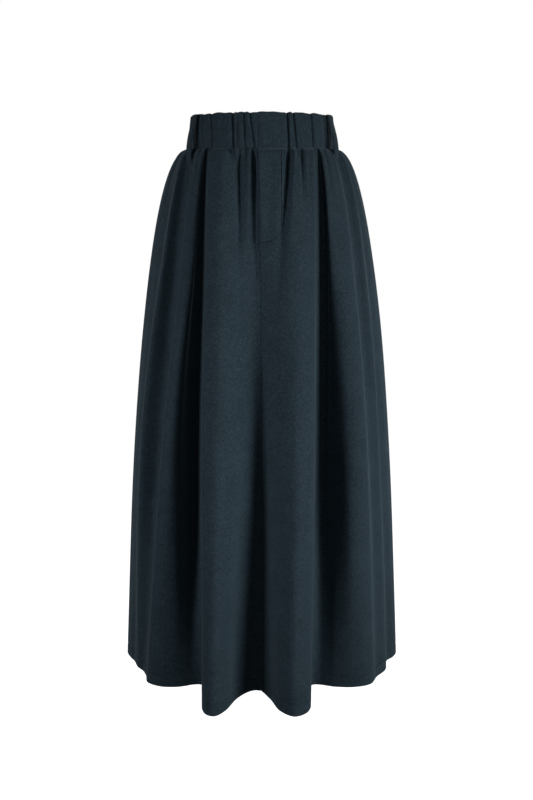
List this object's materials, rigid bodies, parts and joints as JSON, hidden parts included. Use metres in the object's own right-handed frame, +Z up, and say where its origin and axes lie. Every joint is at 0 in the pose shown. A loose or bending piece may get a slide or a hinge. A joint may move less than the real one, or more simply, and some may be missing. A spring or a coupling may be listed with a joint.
{
  "type": "pleated skirt",
  "caption": "Full-length pleated skirt, hollow and filled out as worn, with a gathered elastic waistband, belt loops and a stitched mock fly; open at waist and hem.",
  "frame": {"origin": "centre of the waistband's ring, at half the band's height", "axes": "+Z up towards the waist, front of the skirt towards -Y, +X to the right of someone looking at the front"},
  "size_m": [0.4672, 0.371, 0.8875],
  "materials": {
    "skirt_cloth": "matte brushed suiting, near-black blue",
    "band_cloth": "the same suiting, gathered over elastic",
    "loop_cloth": "the same suiting, folded and edge-stitched"
  },
  "bodies": {
    "root": {"front_left": "skirt_cloth", "front_right": "skirt_cloth", "back_right": "skirt_cloth", "back_left": "skirt_cloth", "fly": "skirt_cloth", "waistband": "band_cloth", "loop_front_right": "loop_cloth", "loop_front_left": "loop_cloth", "loop_back_right": "loop_cloth", "loop_back_left": "loop_cloth"}
  },
  "joints": []
}
